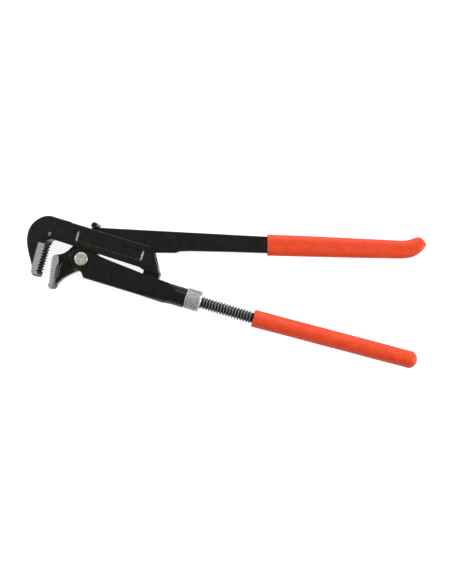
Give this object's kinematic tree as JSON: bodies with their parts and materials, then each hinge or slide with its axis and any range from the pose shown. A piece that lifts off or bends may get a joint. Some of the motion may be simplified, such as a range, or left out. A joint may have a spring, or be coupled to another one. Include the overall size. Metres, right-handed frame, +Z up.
{
  "type": "pipe wrench",
  "caption": "Angled pipe wrench: a hook jaw drawn along a channel housing by a knurled ring nut on a threaded handle, facing a toothed lever jaw.",
  "frame": {"origin": "centre of the bounding box's bottom face; the wrench lies on its flank", "axes": "+Z up out of the flank, +X from the jaws towards the handles, +Y towards the lever"},
  "size_m": [0.3964, 0.1511, 0.022],
  "materials": {
    "black_enamel": "semi-gloss black enamel",
    "orange_pvc": "dipped, satin gloss",
    "zinc_knurl": "zinc plated, diamond knurl",
    "black_thread": "blackened",
    "bright_rivet": "hammered, bare",
    "grey_bush": "phosphated",
    "spring_steel": "oiled"
  },
  "bodies": {
    "frame": {"housing": "black_enamel", "spindle_bush": "grey_bush", "nut_snap_ring": "spring_steel", "pivot_rivet": "bright_rivet"},
    "hook": {"hook_jaw": "black_enamel", "spindle": "black_thread", "spindle_lock_pin": "spring_steel", "lower_grip": "orange_pvc"},
    "lever": {"lever": "black_enamel", "guide_pin": "black_enamel", "upper_grip": "orange_pvc"},
    "nut": {"adjusting_nut": "zinc_knurl"}
  },
  "joints": [
    {"name": "hook_slide", "type": "slide", "parent": "frame", "child": "hook", "axis": [-0.9563, 0.2924, 0], "range_m": [-0.008, 0.042]},
    {"name": "lever_pivot", "type": "hinge", "parent": "frame", "child": "lever", "pos_m": [-0.14466, 0.03293, 0.011], "axis": [0, 0, 1], "range_deg": [-6.5, 12]},
    {"name": "nut_turn", "type": "hinge", "parent": "frame", "child": "nut", "pos_m": [-0.03471, -0.00759, 0.011], "axis": [0.9563, -0.2924, 0], "range_deg": [-970, 5050]}
  ],
  "couplings": [
    {"joint": "nut_turn", "follows": "hook_slide", "rad_per_m": 2094.4}
  ]
}
